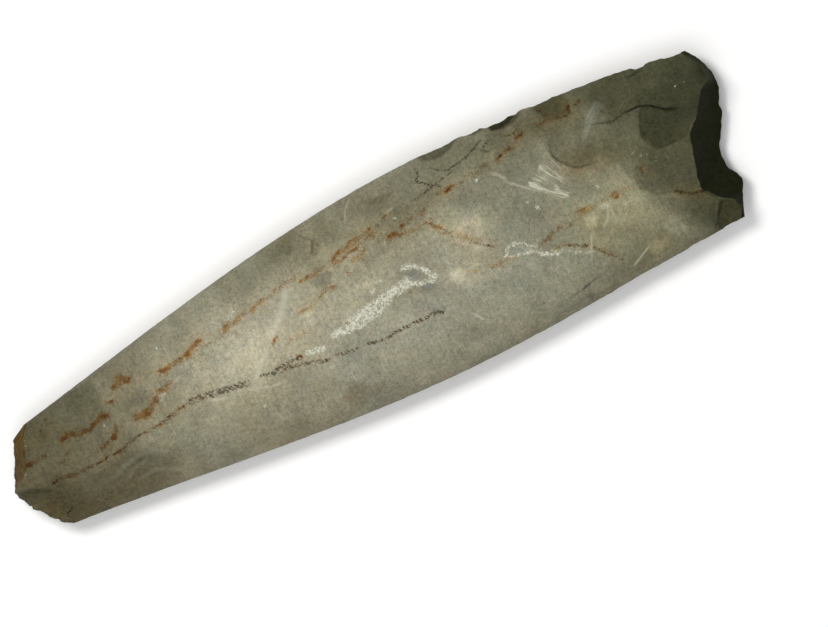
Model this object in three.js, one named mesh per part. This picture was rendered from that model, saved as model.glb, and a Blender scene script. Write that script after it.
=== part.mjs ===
// A long polished stone axe head, lying on one face, in millimetres.
// +X runs from the narrow butt to the broken cutting edge, +Y runs across, +Z is up.
// The origin is on the surface it lies on, under the middle of its outline.
// It is one solid: two polished faces that meet in a thin side edge, an oblique facet and flake
// scars at the butt, and a steep hollow fracture where the cutting edge has broken away.
import * as THREE from "three";
import { ParametricGeometry } from "three/addons/geometries/ParametricGeometry.js";
import { mergeGeometries, mergeVertices } from "three/addons/utils/BufferGeometryUtils.js";

const { clamp, degToRad, lerp } = THREE.MathUtils;

// Driving dimensions.
const LENGTH = 260;
const WIDTH = 68.2;
const THICKNESS = 26;
const EDGE_HEIGHT = 11.5; // of the side edge above the surface that the axe head lies on
const FLAT_CUT = 0.7; // how much of the under face's bulge is ground off, so that it lies still
const BUTT_X = -LENGTH / 2;
const BREAK_X = LENGTH / 2;
const THICKEST_X = 8;

// Each side edge is two cubics that meet, flat, where it is widest. A cubic's control points are
// evenly spaced along X, and its two heights here are those of its end and of the point next to it.
const UPPER_SIDE = { widestX: 32, widest: WIDTH / 2, butt: [11.4, 20.9], blade: [25.6, 31.6] };
const LOWER_SIDE = { widestX: 24, widest: -WIDTH / 2, butt: [-20.8, -24.3], blade: [-29.4, -30.3] };

// A face's section is (1 - |s| ^ SECTION_POWER) ^ SECTION_ROUNDING, with s from -1 to 1 across it.
const SECTION_POWER = 2;
const SECTION_ROUNDING = 0.72;
// The faces thin towards the ends, to these shares of their full height.
const BUTT_SHARE = 0.62;
const BREAK_SHARE = 0.56;
const THINNING_POWER = 2.2;

// Each broken end runs from a rim, where its outline is, to a crease, where the upper face starts.
// Points are [x, y], from the lower side edge to the upper one. rimLift is [y, share of thickness].
const BUTT_END = {
  rim: [
    [-117.2, -22.2],
    [-120.6, -19.8],
    [-124.3, -14.6],
    [-127.2, -11.2],
    [-128, -8.8],
    [BUTT_X, -4.7],
    [-122.7, 10.9],
    [-117, 14],
  ],
  crease: [
    [-116, -22.4],
    [-116.6, -20],
    [-114.6, -16],
    [-114, -12.5],
    [-117.6, -9],
    [-123, -6.2],
    [-129.2, -4.7],
    [-127, -3],
    [-123.4, 0],
    [-121.2, 5],
    [-119.5, 10],
    [-116, 14],
  ],
  rimLift: [
    [-22, 0.4],
    [-6, 0.45],
    [-3, 0.12],
    [14, 0.12],
  ],
  hollow: 1,
};
const BREAK_END = {
  rim: [
    [118.6, -29.4],
    [123.7, -18],
    [122.8, -16],
    [121, -13],
    [120.7, -9.5],
    [121.6, -6.2],
    [127, 3],
    [127.4, 6],
    [129.5, 10.5],
    [BREAK_X, 13],
    [BREAK_X, 17],
    [129.3, 19],
    [127.7, 22.7],
    [125.2, 26.2],
  ],
  crease: [
    [117.4, -29.5],
    [119, -26],
    [117.8, -23],
    [114, -20.8],
    [110, -16.3],
    [110, -12],
    [112, -6],
    [114.3, 2],
    [119, 6],
    [123.5, 12.5],
    [127, 14.5],
    [127.4, 19],
    [126, 22.5],
    [123.8, 26.4],
  ],
  rimLift: [
    [-30, 0.1],
    [27, 0.1],
  ],
  hollow: 1.35,
};

// Flake scars are shallow elliptical dishes: where, how long and wide, how deep, and their turn.
const UPPER_FLAKES = [
  { x: 110, y: 27, long: 20, wide: 10.5, deep: 1.6, turn: -8 },
  { x: 110, y: 9, long: 10, wide: 7.2, deep: 1.3, turn: -12 },
  { x: 103, y: -6, long: 12, wide: 8.6, deep: 0.9, turn: -10 },
  { x: 81, y: 20, long: 9, wide: 13, deep: 1, turn: 0 },
  { x: 41, y: 34.6, long: 8, wide: 3.4, deep: 2, turn: 0 },
  { x: 62, y: 34, long: 7, wide: 3.8, deep: 2.4, turn: -3 },
  { x: 78, y: 32, long: 6, wide: 6, deep: 1.6, turn: -3 },
  { x: 114, y: -28.5, long: 6, wide: 8, deep: 2.6, turn: 20 },
  { x: -95, y: -19, long: 20, wide: 9, deep: 0.9, turn: -4 },
  { x: -113, y: -16, long: 10, wide: 8, deep: 1.4, turn: 10 },
];
const UNDER_FLAKES = [
  { x: -74, y: 19, long: 22, wide: 9, deep: 1.1, turn: 8 },
  { x: 98, y: -21, long: 17, wide: 11, deep: 1.5, turn: -6 },
  { x: 66, y: 30, long: 13, wide: 6, deep: 1.6, turn: -4 },
  { x: -112, y: -2, long: 10, wide: 9, deep: 1.3, turn: 0 },
];

// Grid steps along X over the butt, the faces and the break, and across in Y.
const BUTT_STEPS = 4;
const FACE_STEPS = 60;
const BREAK_STEPS = 5;
const STEPS_ALONG = BUTT_STEPS + FACE_STEPS + BREAK_STEPS;
const STEPS_ACROSS = 26;
const EDGE_CROWDING = 0.5; // 0 spaces the rows evenly, 1 crowds them fully towards the side edges

function sideEdge(side, x) {
  const [endX, [end, next]] = x < side.widestX ? [BUTT_X, side.butt] : [BREAK_X, side.blade];
  const t = (x - endX) / (side.widestX - endX);
  const s = 1 - t;
  return s ** 3 * end + 3 * s * s * t * next + (3 * s + t) * t * t * side.widest;
}

function crossing(x, across) {
  return lerp(sideEdge(LOWER_SIDE, x), sideEdge(UPPER_SIDE, x), across);
}

// Straight lines through [key, value] pairs whose keys rise.
function through(pairs, key) {
  const next = pairs.findIndex((pair) => pair[0] > key);
  if (next < 0) return pairs.at(-1)[1];
  if (next === 0) return pairs[0][1];
  const [from, to] = [pairs[next - 1], pairs[next]];
  return lerp(from[1], to[1], (key - from[0]) / (to[0] - from[0]));
}

// A line of [x, y] points from side edge to side edge, as [share of the way across, x] pairs.
function endLine(points) {
  const last = points.length - 1;
  return points.map(([x, y], i) => {
    const low = sideEdge(LOWER_SIDE, x);
    const share = (y - low) / (sideEdge(UPPER_SIDE, x) - low);
    return [i === 0 ? 0 : i === last ? 1 : share, x];
  });
}

const ENDS = [BUTT_END, BREAK_END].map((end) => ({
  ...end,
  rim: endLine(end.rim),
  crease: endLine(end.crease),
}));

function thicknessShare(x) {
  const [end, share] = x < THICKEST_X ? [BUTT_X, BUTT_SHARE] : [BREAK_X, BREAK_SHARE];
  const away = (x - THICKEST_X) / (end - THICKEST_X);
  return 1 - (1 - share) * Math.abs(away) ** THINNING_POWER;
}

function section(across) {
  const s = Math.abs(2 * across - 1);
  return Math.max(0, 1 - s ** SECTION_POWER) ** SECTION_ROUNDING;
}

// How far the deepest flake scar reaches below a face at a point.
function scarDepth(flakes, x, y) {
  return flakes.reduce((deepest, flake) => {
    const turn = degToRad(flake.turn);
    const [dx, dy] = [x - flake.x, y - flake.y];
    const along = (dx * Math.cos(turn) + dy * Math.sin(turn)) / flake.long;
    const over = (dy * Math.cos(turn) - dx * Math.sin(turn)) / flake.wide;
    return Math.max(deepest, flake.deep * (1 - along * along - over * over));
  }, 0);
}

const FACES = {
  upper: { bulge: THICKNESS - EDGE_HEIGHT, flakes: UPPER_FLAKES, sign: 1 },
  under: { bulge: EDGE_HEIGHT + FLAT_CUT, flakes: UNDER_FLAKES, sign: -1 },
};
const LEAST_BULGE = 0.35; // a scar at a side edge leaves at least this share of the bulge

function faceHeight({ bulge, flakes, sign }, x, across) {
  const full = bulge * thicknessShare(x) * section(across);
  const scarred = full - scarDepth(flakes, x, crossing(x, across));
  return Math.max(0, EDGE_HEIGHT + sign * Math.max(full * LEAST_BULGE, scarred));
}

// The point of a face at a grid place. An end's steps run from its rim to its crease.
function facePoint(face, alongStep, across, target) {
  const [butt, broken] = ENDS;
  const [buttCrease, breakCrease] = ENDS.map((end) => through(end.crease, across));
  const inButt = alongStep < BUTT_STEPS;
  if (!inButt && alongStep <= BUTT_STEPS + FACE_STEPS) {
    const x = lerp(buttCrease, breakCrease, (alongStep - BUTT_STEPS) / FACE_STEPS);
    return target.set(x, crossing(x, across), faceHeight(face, x, across));
  }
  const [end, creaseX] = inButt ? [butt, buttCrease] : [broken, breakCrease];
  const inward = inButt ? alongStep / BUTT_STEPS : (STEPS_ALONG - alongStep) / BREAK_STEPS;
  const rimX = through(end.rim, across);
  const lift = through(end.rimLift, crossing(rimX, across));
  const [under, upper] = [FACES.under, FACES.upper].map((f) => faceHeight(f, rimX, across));
  const x = lerp(rimX, creaseX, inward);
  const rise = face === FACES.upper ? inward ** end.hollow : inward;
  const z = lerp(lerp(under, upper, lift), faceHeight(face, creaseX, across), rise);
  return target.set(x, crossing(x, across), z);
}

function crowded(v) {
  return lerp(v, (1 - Math.cos(Math.PI * v)) / 2, EDGE_CROWDING);
}

function faceSheet(face) {
  const along = (u, v, target) => {
    const step = (face === FACES.upper ? u : 1 - u) * STEPS_ALONG;
    facePoint(face, clamp(step, 0, STEPS_ALONG), crowded(v), target);
  };
  return new ParametricGeometry(along, STEPS_ALONG, STEPS_ACROSS);
}

function axeHeadGeometry() {
  const sheets = [FACES.upper, FACES.under].map(faceSheet);
  const joined = mergeGeometries(sheets);
  joined.deleteAttribute("normal");
  joined.deleteAttribute("uv");
  const welded = mergeVertices(joined, 1e-3);
  welded.computeVertexNormals();
  return welded;
}

const stone = new THREE.MeshStandardMaterial({ color: 0x8d8973, roughness: 0.55, metalness: 0 });
const axeHead = new THREE.Mesh(axeHeadGeometry(), stone);
axeHead.name = "axe_head";

const part = new THREE.Group();
part.add(axeHead);

export default part;
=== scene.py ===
import math

import bpy
import numpy as np
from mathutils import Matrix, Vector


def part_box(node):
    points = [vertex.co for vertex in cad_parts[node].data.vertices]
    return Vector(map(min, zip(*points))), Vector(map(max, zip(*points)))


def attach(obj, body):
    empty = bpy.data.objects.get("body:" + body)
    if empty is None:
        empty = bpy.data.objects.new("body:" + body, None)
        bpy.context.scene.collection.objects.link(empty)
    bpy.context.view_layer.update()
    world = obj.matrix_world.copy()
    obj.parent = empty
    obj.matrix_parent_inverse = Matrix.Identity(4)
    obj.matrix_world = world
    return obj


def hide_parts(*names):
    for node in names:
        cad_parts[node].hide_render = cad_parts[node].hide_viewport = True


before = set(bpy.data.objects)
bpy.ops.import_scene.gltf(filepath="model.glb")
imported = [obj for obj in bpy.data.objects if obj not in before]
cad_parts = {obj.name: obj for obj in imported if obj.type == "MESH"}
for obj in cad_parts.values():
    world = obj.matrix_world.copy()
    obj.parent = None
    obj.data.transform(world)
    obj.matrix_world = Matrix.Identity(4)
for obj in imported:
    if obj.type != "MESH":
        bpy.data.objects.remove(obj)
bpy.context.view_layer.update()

# The looks of a long polished jadeite axe head that lies on one face. The frame holds it as one
# plain solid. This script makes the fine surface of that solid, in millimetres in the frame's own
# axes, and paints it with fields that its material reads: rust veins, pale crystals, cracks,
# scratches and fracture scars, and a colour that holds painted shade towards the ends and a
# painted highlight.
MM = 0.001
LOW, HIGH = (np.array(corner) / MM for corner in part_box("axe_head"))
BUTT_X, BREAK_X = LOW[0], HIGH[0]
HALF_WIDTH = (HIGH[1] - LOW[1]) / 2
THICKNESS = HIGH[2]
EDGE_HEIGHT = 11.5
FLAT_CUT = 0.7
THICKEST_X = 8
EXPOSURE = 1.25  # how much brighter the studio light makes a level surface than its own colour

# SHAPE: the same outline, section and broken ends as the solid, with finer relief on them.

# Where each side edge is widest, and its two cubics' end and next heights, as in the solid.
UPPER_SIDE = {"widest_x": 32, "butt": (11.4, 20.9), "blade": (25.6, 31.6)}
LOWER_SIDE = {"widest_x": 24, "butt": (-20.8, -24.3), "blade": (-29.4, -30.3)}
SECTION_POWER, SECTION_ROUNDING = 2, 0.72
BUTT_SHARE, BREAK_SHARE, THINNING_POWER = 0.62, 0.56, 2.2

# Each broken end runs from its rim to the crease where the upper face starts. Each point's x,y.
BUTT_RIM = [-117.2,-22.2, -120.6,-19.8, -124.3,-14.6, -127.2,-11.2, -128,-8.8, BUTT_X,-4.7, -122.7,10.9,
            -117,14]
BUTT_CREASE = [-116,-22.4, -116.6,-20, -114.6,-16, -114,-12.5, -117.6,-9, -123,-6.2, -129.2,-4.7, -127,-3,
               -123,0, -120.7,5, -119.2,10, -116,14]
BREAK_RIM = [118.6,-29.4, 123.7,-18, 122.8,-16, 121,-13, 120.7,-9.5, 121.6,-6.2, 127,3, 127.4,6,
             129.5,10.5, BREAK_X,13, BREAK_X,17, 129.3,19, 127.7,22.7, 125.2,26.2]
BREAK_CREASE = [117.4,-29.5, 119,-26, 117.8,-23, 114,-20.8, 110,-16.3, 110,-12, 112,-6, 114.3,2, 119,6,
                123.5,12.5, 127,14.5, 127.4,19, 126,22.5, 123.8,26.4]
BUTT_LIFT = [(-22, 0.4), (-6, 0.45), (-3, 0.12), (14, 0.12)]
BREAK_LIFT = [(-30, 0.1), (27, 0.1)]
BUTT_HOLLOW, BREAK_HOLLOW = 1, 1.35

# Broad flake scars: x, y, half length, half width, depth, turn in degrees.
UPPER_FLAKES = [
    (110, 27, 20, 10.5, 1.6, -8), (110, 9, 10, 7.2, 1.3, -12), (103, -6, 12, 8.6, 0.9, -10),
    (81, 20, 9, 13, 1, 0), (41, 34.6, 8, 3.4, 2, 0), (62, 34, 7, 3.8, 2.4, -3),
    (78, 32, 6, 6, 1.6, -3), (114, -28.5, 6, 8, 2.6, 20), (-95, -19, 20, 9, 0.9, -4),
    (-113, -16, 10, 8, 1.4, 10),
]
UNDER_FLAKES = [
    (-74, 19, 22, 9, 1.1, 8), (98, -21, 17, 11, 1.5, -6), (66, 30, 13, 6, 1.6, -4),
    (-112, -2, 10, 9, 1.3, 0),
]
LEAST_BULGE = 0.35

# Edges of scars. The face drops to the left of each path, over the edge's width, and rises back
# over the reach. Drop, reach, edge and darkness of the scar, then each point's x,y.
UPPER_STEPS = [
    (0.8, 11, 0.35, 0.75, 87,18.6, 90,17.7, 94,16.2, 99,17.2, 103.5,17, 107,15.5, 111,12.2, 114,11,
        118,10.4),
    (0.55, 12, 0.35, 0.95, 103.2,16.2, 101.6,12, 100.3,8, 100.6,5, 102.4,2.4, 107,1.7, 113.8,1.8),
    (0.4, 15, 0.35, 0.5, 92,-8, 96,-10.5, 102,-12.3, 106,-15, 110,-16.5),
    (0.7, 12, 0.35, 0.6, 72.3,20, 71.8,15.5, 73,12.5, 75,10, 77.5,8, 82,7, 86,6),
    (1.7, 5, 0.35, 0.8, 32.5,34.4, 35,32, 38,30.7, 41,30.8, 46,32.9, 49,34),
    (0.9, 4, 0.35, 0.8, 48.5,33.6, 52,32.3, 56,32.4, 57.5,33.6),
    (2.3, 5, 0.35, 1.3, 56,33.4, 58,31, 62,29.7, 65,30, 68,31.6, 70,33),
    (0.35, 3.5, 0.35, 0.5, 51.8,28.4, 52.3,26.8, 54,25.6, 57,25),
    (0.6, 7, 0.35, 0.7, 71.6,33, 74,30.2, 75.5,27.8, 76,26, 79,25.2, 83.4,24.4),
    (0.35, 3, 0.35, 0.4, 104.3,27.2, 106.5,26.8, 110.5,27.2),
    (0.35, 5, 0.35, 0.4, 10,28.8, 13,27.4, 17,26.4, 21,27.3),
    (1.1, 9, 0.35, 0.75, 114.2,-20.9, 111.5,-25, 109,-28.4, 108.6,-30.6),
    (0.35, 10, 2.4, 0.5, -77,-24, -78,-20, -80.5,-15.4, -84,-12.2, -89,-10.6, -95,-10.5, -102,-11.4,
        -108,-12.6),
    (0.25, 4, 0.35, 0.3, -9,20.5, -10.5,21.6, -8.8,25, -10.2,26.6, -12.4,28.8),
    (0.2, 5, 0.35, 0.45, -14,12.9, -13,10.8, -10,10.3, -7.8,12, -7.4,14.4),
    (0.7, 3.2, 0.35, 0.55, 76,-31.4, 70,-30.9, 63,-30.1, 56,-30.6, 47,-32.2),
    (0.5, 3, 0.35, 0.5, 110,-29.6, 100,-29.2, 92,-29.4, 82,-31),
]
UNDER_STEPS = [
    (0.8, 10, 0.35, 0.5, -96,21, -90,13, -78,10, -64,12, -52,18),
    (0.9, 11, 0.35, 0.7, 118,-10, 105,-8, 94,-10, 84,-16, 80,-26),
    (1, 7, 0.35, 0.6, 52,33, 58,27, 67,24, 76,26, 82,31),
]

# Columns along the axe over the butt, the faces and the break, and rows across it. The under
# face has a row for every three of the upper face.
BUTT_COLUMNS, FACE_COLUMNS, BREAK_COLUMNS = 30, 506, 34
COLUMNS = BUTT_COLUMNS + FACE_COLUMNS + BREAK_COLUMNS
UNDER_EVERY = 3
ROWS = 42 * UNDER_EVERY
EDGE_CROWDING = 0.35


def lerp(a, b, t):
    return a + (b - a) * t


def pairs(values):
    """The (x, y) points of a flat row of x, y, x, y and so on."""
    return list(zip(values[::2], values[1::2]))


def smooth(t):
    t = np.clip(t, 0, 1)
    return t * t * (3 - 2 * t)


def value_noise(x, y, size, seed):
    """Smooth noise from -1 to 1 whose features are about size millimetres across."""
    lattice = np.random.default_rng(seed).uniform(-1, 1, (64, 64))
    column, row = np.floor(x / size).astype(int), np.floor(y / size).astype(int)
    across, up = smooth(x / size - column), smooth(y / size - row)
    corners = [lattice[(column + i) % 64, (row + j) % 64] for j in (0, 1) for i in (0, 1)]
    return lerp(lerp(corners[0], corners[1], across), lerp(corners[2], corners[3], across), up)


def fractal(x, y, size, octaves, seed):
    return sum(value_noise(x, y, size / 2**i, seed + i) / 2**i for i in range(octaves))


# Bites out of the two side edges: middle, half length and depth.
UPPER_BITES = [(40, 7, 0.3), (52, 3.5, 0.4), (60, 5, 0.8), (66, 3, 0.4), (76, 4, 0.3), (109.5, 2.6, 0.6),
               (119.5, 2.4, 0.5), (122.5, 1.6, 0.3)]
LOWER_BITES = [(78, 9, 0.2), (101, 3, 0.2), (113, 2.5, 0.25)]


def side_edge(side, sign, x):
    def half(end_x, heights):
        t = np.clip((x - end_x) / (side["widest_x"] - end_x), 0, 1)
        s = 1 - t
        end, following = heights
        return s**3 * end + 3 * s * s * t * following + (3 * s + t) * t * t * sign * HALF_WIDTH

    edge = np.where(x < side["widest_x"], half(BUTT_X, side["butt"]), half(BREAK_X, side["blade"]))
    raggedness = lerp(0.12, 0.4 if sign > 0 else 0.18, smooth((x - 15) / 30))
    inset = raggedness * (1 + fractal(x, np.full_like(x, 7.0 * sign), 2.6, 3, 40)) / 2
    for middle, half, deep in UPPER_BITES if sign > 0 else LOWER_BITES:
        inset = inset + deep * smooth(2 - 2 * np.abs(x - middle) / half)
    return edge - sign * inset


def crossing(x, across):
    return lerp(side_edge(LOWER_SIDE, -1, x), side_edge(UPPER_SIDE, 1, x), across)


def end_line(points, across, seed, chipping=0):
    """X along a line of points from side edge to side edge, at each share across."""
    xs, ys = np.array(points, float).reshape(-1, 2).T
    low, high = side_edge(LOWER_SIDE, -1, xs), side_edge(UPPER_SIDE, 1, xs)
    shares = (ys - low) / (high - low)
    shares[0], shares[-1] = 0, 1
    blur = np.array([-0.008, 0, 0.008])
    line = np.mean([np.interp(across + step, shares, xs) for step in blur], axis=0)
    rough = 0.22 + chipping * smooth((0.45 - across) / 0.1)
    return line + rough * fractal(across * 60, across * 0, 2.6, 3, seed)


def thickness_share(x):
    toward_butt = (THICKEST_X - x) / (THICKEST_X - BUTT_X)
    toward_break = (x - THICKEST_X) / (BREAK_X - THICKEST_X)
    butt = (1 - BUTT_SHARE) * np.clip(toward_butt, 0, 1) ** THINNING_POWER
    broken = (1 - BREAK_SHARE) * np.clip(toward_break, 0, 1) ** THINNING_POWER
    return 1 - butt - broken


def section(across):
    s = np.abs(2 * across - 1)
    return np.clip(1 - s**SECTION_POWER, 0, 1) ** SECTION_ROUNDING


def oval(dx, dy, half_long, half_wide, turn=0):
    """0 in the middle of a turned oval and 1 on its border."""
    c, s = math.cos(math.radians(turn)), math.sin(math.radians(turn))
    return ((dx * c + dy * s) / half_long) ** 2 + ((dy * c - dx * s) / half_wide) ** 2


def flake_depth(flakes, x, y):
    depth = np.zeros_like(x)
    for flake_x, flake_y, half_long, half_wide, deep, turn in flakes:
        depth = np.maximum(depth, deep * (1 - oval(x - flake_x, y - flake_y, half_long, half_wide, turn)))
    return depth


def near_path(x, y, path):
    """Distance from a path, which side of it a point is on, and how far along it, 0 to its length."""
    path = np.array(path, float)
    best = np.full(x.shape, np.inf)
    side, along = np.zeros(x.shape), np.zeros(x.shape)
    start = 0.0
    for (ax, ay), (bx, by) in zip(path[:-1], path[1:]):
        length = math.hypot(bx - ax, by - ay)
        ux, uy = (bx - ax) / length, (by - ay) / length
        t = (x - ax) * ux + (y - ay) * uy
        over = np.clip(t, 0, length)
        away = np.hypot(x - ax - over * ux, y - ay - over * uy)
        nearer = away < best
        best = np.where(nearer, away, best)
        side = np.where(nearer, np.sign(ux * (y - ay) - uy * (x - ax)), side)
        along = np.where(nearer, start + over, along)
        start += length
    return best, side, along, start


def step_relief(steps, x, y):
    """Depth and darkness of the scars that a face's sharp step edges bound."""
    wander_x, wander_y = (0.35 * fractal(x, y, 3.5, 2, seed) for seed in (71, 83))
    depth, darkness = np.zeros_like(x), np.zeros_like(x)
    for drop, reach, edge, dark, *path in steps:
        away, side, along, length = near_path(x + wander_x, y + wander_y, pairs(path))
        ends = smooth(np.minimum(along, length - along) / (0.18 * length) + 0.15)
        inside = smooth(side * away / edge + 0.5) * np.clip(1 - away / reach, 0, 1)
        depth += drop * ends * inside**1.5
        darkness = np.maximum(darkness, dark * smooth(ends) * smooth(side * away / (1.4 * edge) + 0.5)
                              * smooth(1.3 * (1 - away / reach)))
    return depth, darkness


def face_height(upper, x, across):
    """Height of the upper or under face, and how dark a scar there is."""
    y = crossing(x, across)
    bulge = THICKNESS - EDGE_HEIGHT if upper else EDGE_HEIGHT + FLAT_CUT
    full = bulge * thickness_share(x) * section(across)
    step_depth, darkness = step_relief(UPPER_STEPS if upper else UNDER_STEPS, x, y)
    flakes = flake_depth(UPPER_FLAKES if upper else UNDER_FLAKES, x, y)
    ground = 0.1 * fractal(x, y, 16, 3, 5 if upper else 15)
    hackle = 0.12 * fractal(x, y, 2.4, 3, 25) * darkness
    scarred = full - flakes - step_depth + (ground + hackle) * smooth(section(across) / 0.3)
    rise = np.maximum(full * LEAST_BULGE, scarred)
    height = EDGE_HEIGHT + rise if upper else EDGE_HEIGHT - rise
    return np.clip(height, 0, THICKNESS), darkness


def crowded(v):
    return lerp(v, (1 - np.cos(np.pi * v)) / 2, EDGE_CROWDING)


def face_grid(upper):
    """X, y and z of a face's grid, by column and row, with its scar and fracture shares."""
    across = crowded(np.linspace(0, 1, ROWS + 1))
    if not upper:
        across = across[::UNDER_EVERY]
    rims = end_line(BUTT_RIM, across, 51, 0.3), end_line(BREAK_RIM, across, 52)
    rims = np.clip(rims[0], BUTT_X, None), np.clip(rims[1], None, BREAK_X)
    creases = end_line(BUTT_CREASE, across, 53), end_line(BREAK_CREASE, across, 54)
    creases = np.maximum(creases[0], rims[0] + 0.5), np.minimum(creases[1], rims[1] - 0.5)
    shares = np.linspace(0, 1, FACE_COLUMNS + 1)[:, None]
    x = lerp(creases[0][None], creases[1][None], shares)
    wide = np.broadcast_to(across, x.shape)
    z, scar = face_height(upper, x, wide)
    blocks = [(x, z, scar, np.zeros_like(x))]
    ends = [(BUTT_COLUMNS, BUTT_LIFT, BUTT_HOLLOW), (BREAK_COLUMNS, BREAK_LIFT, BREAK_HOLLOW)]
    for i, (columns, lifts, hollow) in enumerate(ends):
        inward = (np.arange(columns) / columns)[:, None]
        end_x = lerp(rims[i][None], creases[i][None], inward)
        end_wide = np.broadcast_to(across, end_x.shape)
        lift = np.interp(crossing(rims[i], across), *np.array(lifts, float).T)
        under, over = (face_height(face, rims[i], across)[0] for face in (False, True))
        rim_z = lerp(under, over, lift)
        crease_z = face_height(upper, creases[i], across)[0]
        end_z = lerp(rim_z[None], crease_z[None], inward ** hollow if upper else inward)
        end_y = crossing(end_x, end_wide)
        swell = 0.45 * fractal(end_x, end_y + end_z, 6, 3, 61)
        swell += 0.16 * fractal(end_x, end_y, 1.8, 2, 64)
        rough = np.sin(np.pi * inward) * smooth(section(end_wide) / 0.4)
        reach = np.abs(rims[i] - creases[i]) / 8
        end_z = np.clip(end_z + swell * rough * np.clip(reach, 0.2, 1), 0, THICKNESS)
        fracture = np.ones_like(end_x) * (1 if upper else smooth(1.4 - 3 * inward))
        block = (end_x, end_z, np.zeros_like(end_x), fracture)
        if i == 0:
            blocks.insert(0, block)
        else:
            blocks.append(tuple(layer[::-1] for layer in block))
    x, z, scar, fracture = (np.concatenate(layers) for layers in zip(*blocks))
    return x, crossing(x, np.broadcast_to(across, x.shape)), z, scar, fracture


# MARKS on the stone.

def paths(*rows):
    """Marks as (strength, half width, points), from rows of the two and each point's x,y."""
    return [(strength, half, pairs(path)) for strength, half, *path in rows]


RUST = paths(
    (1, 1, -108,4, -105,4.2, -102,3, -99,2.7, -95,4.4, -91.8,4.4), (0.9, 1.1, -94.5,5, -92,4.2),
    (0.45, 0.5, -110.5,11.8, -108.5,7, -107.5,4.5), (0.4, 0.6, -110,11, -109,10),
    (1.1, 1.4, -85.4,11.4, -83.5,12.9, -81.4,12.1), (0.75, 0.7, -89.6,7.4, -88.6,7.5),
    (0.5, 0.6, -89,7.6, -87,10, -86,11), (0.65, 0.9, -98,-4.2, -95.5,-3.4),
    (1.1, 1, -93.6,-3.2, -91.6,-1.4, -90.8,0.2), (0.6, 0.9, -91,0, -89.6,-1.2),
    (1, 1.3, -83.5,-0.5, -80,-0.8, -77.5,0.2, -75.4,2), (0.8, 1, -73.6,3.9, -71.6,3.4, -70,4.4),
    (0.85, 0.9, -122,1.6, -120.8,1.2), (0.5, 0.7, -120,1.3, -115.5,1.8),
    (0.7, 0.6, -112,-2.6, -110.4,-2.4), (0.5, 0.5, -109.4,-1, -107.8,-0.7),
    (0.95, 0.9, -70.4,9, -66,9.5, -60,10.5, -57,12), (1.05, 1, -58.4,11.6, -57,12.2, -55.4,12.8),
    (0.4, 0.7, -74.5,11.4, -72,10.2, -70.4,9), (0.45, 0.6, -57.4,10.4, -50,10.4, -47,11.4),
    (0.55, 1.2, -46,12, -42,13, -39,13.4), (0.6, 0.9, -36,13.6, -33,14.4, -31,15),
    (0.5, 0.8, -31,15, -26,16.4, -18,17.4), (0.85, 0.6, -18,14.9, -13,15.2, -8.7,15.3),
    (0.8, 0.65, -6.4,15.9, -4.6,17, -3.4,17.4), (0.72, 0.8, -3.4,17.4, 0,18.2, 4,19, 9.5,20.3),
    (0.68, 0.6, -6,15.2, -2.4,15.4, 2,16.6, 5,17.3), (0.8, 0.8, 7,17.5, 8,18.2, 9.6,18),
    (0.7, 0.6, -22,6.5, -18,6.8), (0.8, 0.6, -15,7.8, -12,9, -11,9.6, -8.5,8.4),
    (0.75, 0.7, -34,1.8, -32.5,2.6), (0.45, 0.7, -30,-0.6, -24,0.4), (0.5, 0.6, 0,13, 5,15),
    (0.5, 0.5, 1.4,12.4, 3,12.8), (0.9, 0.9, 13.4,14.8, 15,15.4, 16.8,14.8),
    (0.6, 0.6, 17,13.9, 22,14.1, 25.5,14.3), (0.9, 0.7, 19.2,16.4, 20.2,16.6),
    (0.7, 0.8, 21.6,17.2, 23.4,17.2), (0.65, 1, 26,17.4, 28,18), (0.45, 0.6, 28,18, 31.4,18.8),
    (0.6, 0.5, 14.6,21.2, 15.6,21.6), (0.5, 0.4, 28.4,15.2, 29.6,14.8),
    (0.85, 0.45, 25.5,14.2, 27.5,13, 29.5,11), (0.7, 0.35, 29.5,11, 32.5,7.8),
    (0.45, 0.4, 26.4,12.8, 28.4,10, 31,7.2), (0.5, 0.35, 31.4,5.6, 33,4.6, 35.8,1.8),
    (0.65, 0.35, 34,6, 36.5,3, 39,0.5), (0.5, 0.4, 40,-0.8, 41.6,-2, 42.6,-2.4),
    (0.55, 0.6, 31,-6, 33.5,-7.2, 34.6,-7.2), (0.5, 0.7, 39,-7.9, 43,-8.2, 47,-8.3),
    (0.6, 0.7, 55,-8.8, 60,-7.4, 64,-6), (0.6, 0.7, 71.4,-4.6, 74,-4.6),
    (0.4, 0.8, 70,-6.6, 73,-6, 76.3,-5.4), (0.45, 0.8, 79,-5.3, 84,-4.4, 90,-5),
    (0.8, 0.5, 83.6,-6, 85,-5.8), (0.4, 0.9, 58,-10.6, 62,-12, 66,-13.8, 69.4,-15.8),
    (0.5, 0.8, 71,-17, 73,-19.5, 75,-21.5), (0.95, 1, 36.6,20, 38.4,20.6),
    (0.6, 0.8, 33.5,20.5, 36.6,20.2), (0.5, 0.6, 38.5,20.4, 43,20), (0.55, 0.7, 50.5,22, 52,21.8),
    (0.4, 1, 45,21, 48,20.6), (1, 0.9, 55.8,22.2, 57.6,22.4), (0.7, 0.8, 57.6,22.4, 62,23.8, 66.4,25.8),
    (0.95, 0.8, 64,24.8, 65.6,25.4), (0.7, 0.6, 72,25.7, 78,25.5, 80,25),
    (0.75, 0.6, 80.4,25, 82,24.4, 83,25.2, 83.6,26.8), (0.7, 0.5, 75,27.4, 75.4,26.2),
    (0.85, 0.45, 102.2,-12.6, 104,-14.2, 106.4,-15.4, 110,-16.4), (0.7, 0.8, 95,-1.4, 95.4,-2.6),
    (0.3, 1.2, 11.4,-3.9, 13.4,-3.8), (0.3, 1.6, -48,12, -38,14, -28,16, -18,16.6),
    (0.26, 1.4, -4,17, 3,18, 9,19),
)
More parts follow.
